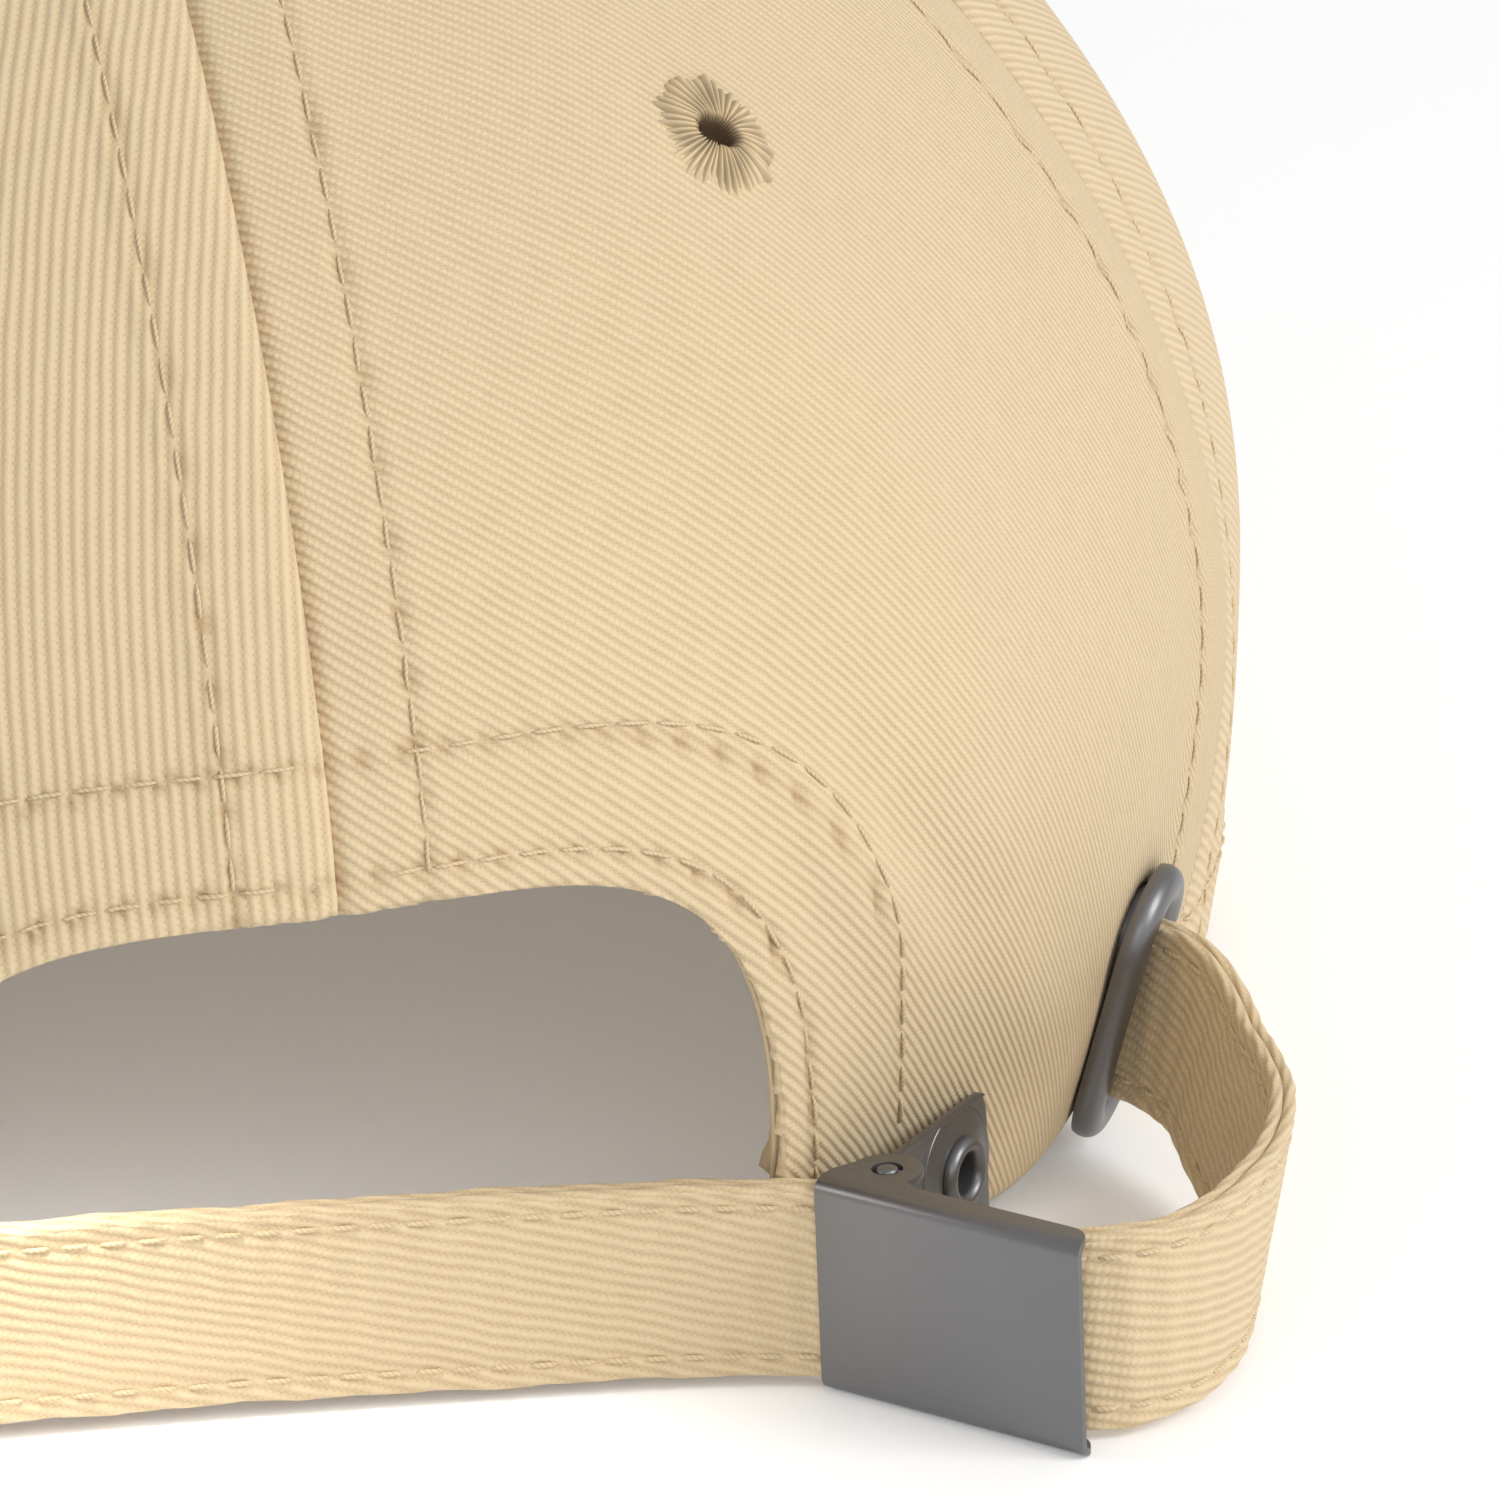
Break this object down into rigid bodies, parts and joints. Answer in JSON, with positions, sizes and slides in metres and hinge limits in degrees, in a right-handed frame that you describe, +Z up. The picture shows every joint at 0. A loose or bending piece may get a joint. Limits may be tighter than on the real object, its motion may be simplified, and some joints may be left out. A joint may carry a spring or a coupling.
{
  "type": "baseball cap",
  "caption": "Six-panel cotton twill cap with a curved visor, and an adjustable back strap in a metal flip-lever buckle whose loose end tucks into a long eyelet.",
  "frame": {"origin": "on the surface the cap stands on, under the middle of the head opening", "axes": "+Z up through the top button, -Y towards the visor's front, +Y towards the back opening, -X towards the wearer's right"},
  "size_m": [0.182, 0.2802, 0.1243],
  "materials": {
    "cotton_twill": "brushed sand cotton twill with topstitching",
    "strap_twill": "folded and edge-stitched sand cotton twill",
    "eyelet_thread": "satin-stitched sand thread",
    "lining_tape": "plain-weave seam tape and facing",
    "sweatband_cotton": "soft cotton sweatband",
    "visor_board": "stiff moulded board, hidden inside the visor",
    "gunmetal": "dark satin gunmetal plating",
    "button_plastic": "plain moulded plastic, hidden",
    "rivet_steel": "plain steel"
  },
  "bodies": {
    "cap": {"back_right_panel": "cotton_twill", "side_right_panel": "cotton_twill", "front_right_panel": "cotton_twill", "front_left_panel": "cotton_twill", "side_left_panel": "cotton_twill", "back_left_panel": "cotton_twill", "back_right_eyelet": "eyelet_thread", "side_right_eyelet": "eyelet_thread", "front_right_eyelet": "eyelet_thread", "front_left_eyelet": "eyelet_thread", "side_left_eyelet": "eyelet_thread", "back_left_eyelet": "eyelet_thread", "seam_tape_back": "lining_tape", "seam_tape_back_right": "lining_tape", "seam_tape_front_right": "lining_tape", "seam_tape_front": "lining_tape", "seam_tape_front_left": "lining_tape", "seam_tape_back_left": "lining_tape", "arch_facing": "lining_tape", "sweatband": "sweatband_cotton", "visor_top_fabric": "cotton_twill", "visor_board": "visor_board", "visor_bottom_fabric": "cotton_twill", "button_cover": "cotton_twill", "button_core": "button_plastic", "button_rivet": "rivet_steel", "button_washer": "button_plastic", "back_strap": "strap_twill", "strap_tail": "strap_twill", "buckle_base": "gunmetal", "buckle_rivet": "gunmetal", "buckle_rivet_washer": "gunmetal", "tail_grommet": "gunmetal", "tail_grommet_washer": "gunmetal"},
    "lever": {"buckle_lever": "gunmetal"}
  },
  "joints": [
    {"name": "lever_flip", "type": "hinge", "parent": "cap", "child": "lever", "pos_m": [-0.0394, 0.0936, 0.0082], "axis": [0, 0, 1], "range_deg": [0, 95], "deforming": ["strap_tail"]}
  ]
}
